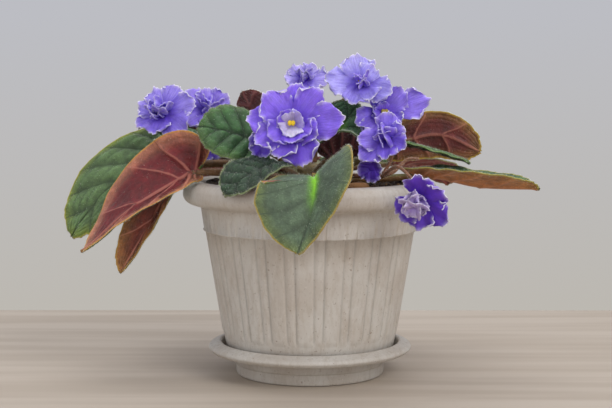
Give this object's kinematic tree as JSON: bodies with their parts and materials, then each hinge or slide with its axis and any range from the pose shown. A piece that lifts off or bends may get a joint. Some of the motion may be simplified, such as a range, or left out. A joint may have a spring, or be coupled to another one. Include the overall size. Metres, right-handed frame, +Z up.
{
  "type": "potted african violet",
  "caption": "Flowering african violet with fuzzy heart-shaped leaves and ruffled violet-blue blooms, in a fluted stone-look plastic pot that stands on a matching saucer.",
  "frame": {"origin": "centre of the saucer's flat underside", "axes": "+Z up along the pot's axis, -Y towards the side with the drooping front leaf, +X to the right as seen from there"},
  "size_m": [0.2593, 0.2125, 0.1759],
  "materials": {
    "plastic": "matt, speckled like granite",
    "peat": "crumbly potting soil",
    "green": "velvety, hairy and quilted",
    "stem": "hairy brown-green stem",
    "violet": "sparkling violet-blue petal with a pale frilled edge",
    "pollen": "matt pollen yellow"
  },
  "bodies": {
    "root": {"pot": "plastic", "saucer": "plastic", "soil": "peat", "crown": "stem", "leaf_front": "green", "leaf_front_left": "green", "leaf_left_upper": "green", "leaf_pink": "green", "leaf_left_low": "green", "leaf_left_outer": "green", "leaf_left_back": "green", "leaf_back_red": "green", "leaf_right_long": "green", "leaf_right_mid": "green", "leaf_right_back": "green", "leaf_inner_red": "green", "leaf_centre": "green", "leaf_rear_left": "green", "leaf_rear": "green", "leaf_rear_right": "green", "flower_centre": "violet", "flower_under": "violet", "flower_top": "violet", "flower_top_back": "violet", "flower_right": "violet", "flower_ruffled": "violet", "flower_shaded": "violet", "flower_hanging": "violet", "flower_left": "violet", "flower_left_inner": "violet", "flower_left_low": "violet", "anthers_centre": "pollen", "anthers_top": "pollen", "anthers_top_back": "pollen", "anthers_right": "pollen", "anthers_ruffled": "pollen", "anthers_hanging": "pollen", "anthers_left": "pollen", "anthers_left_inner": "pollen", "stalk_centre": "stem", "stalk_top": "stem", "stalk_left": "stem", "stalk_right": "stem"}
  },
  "joints": []
}
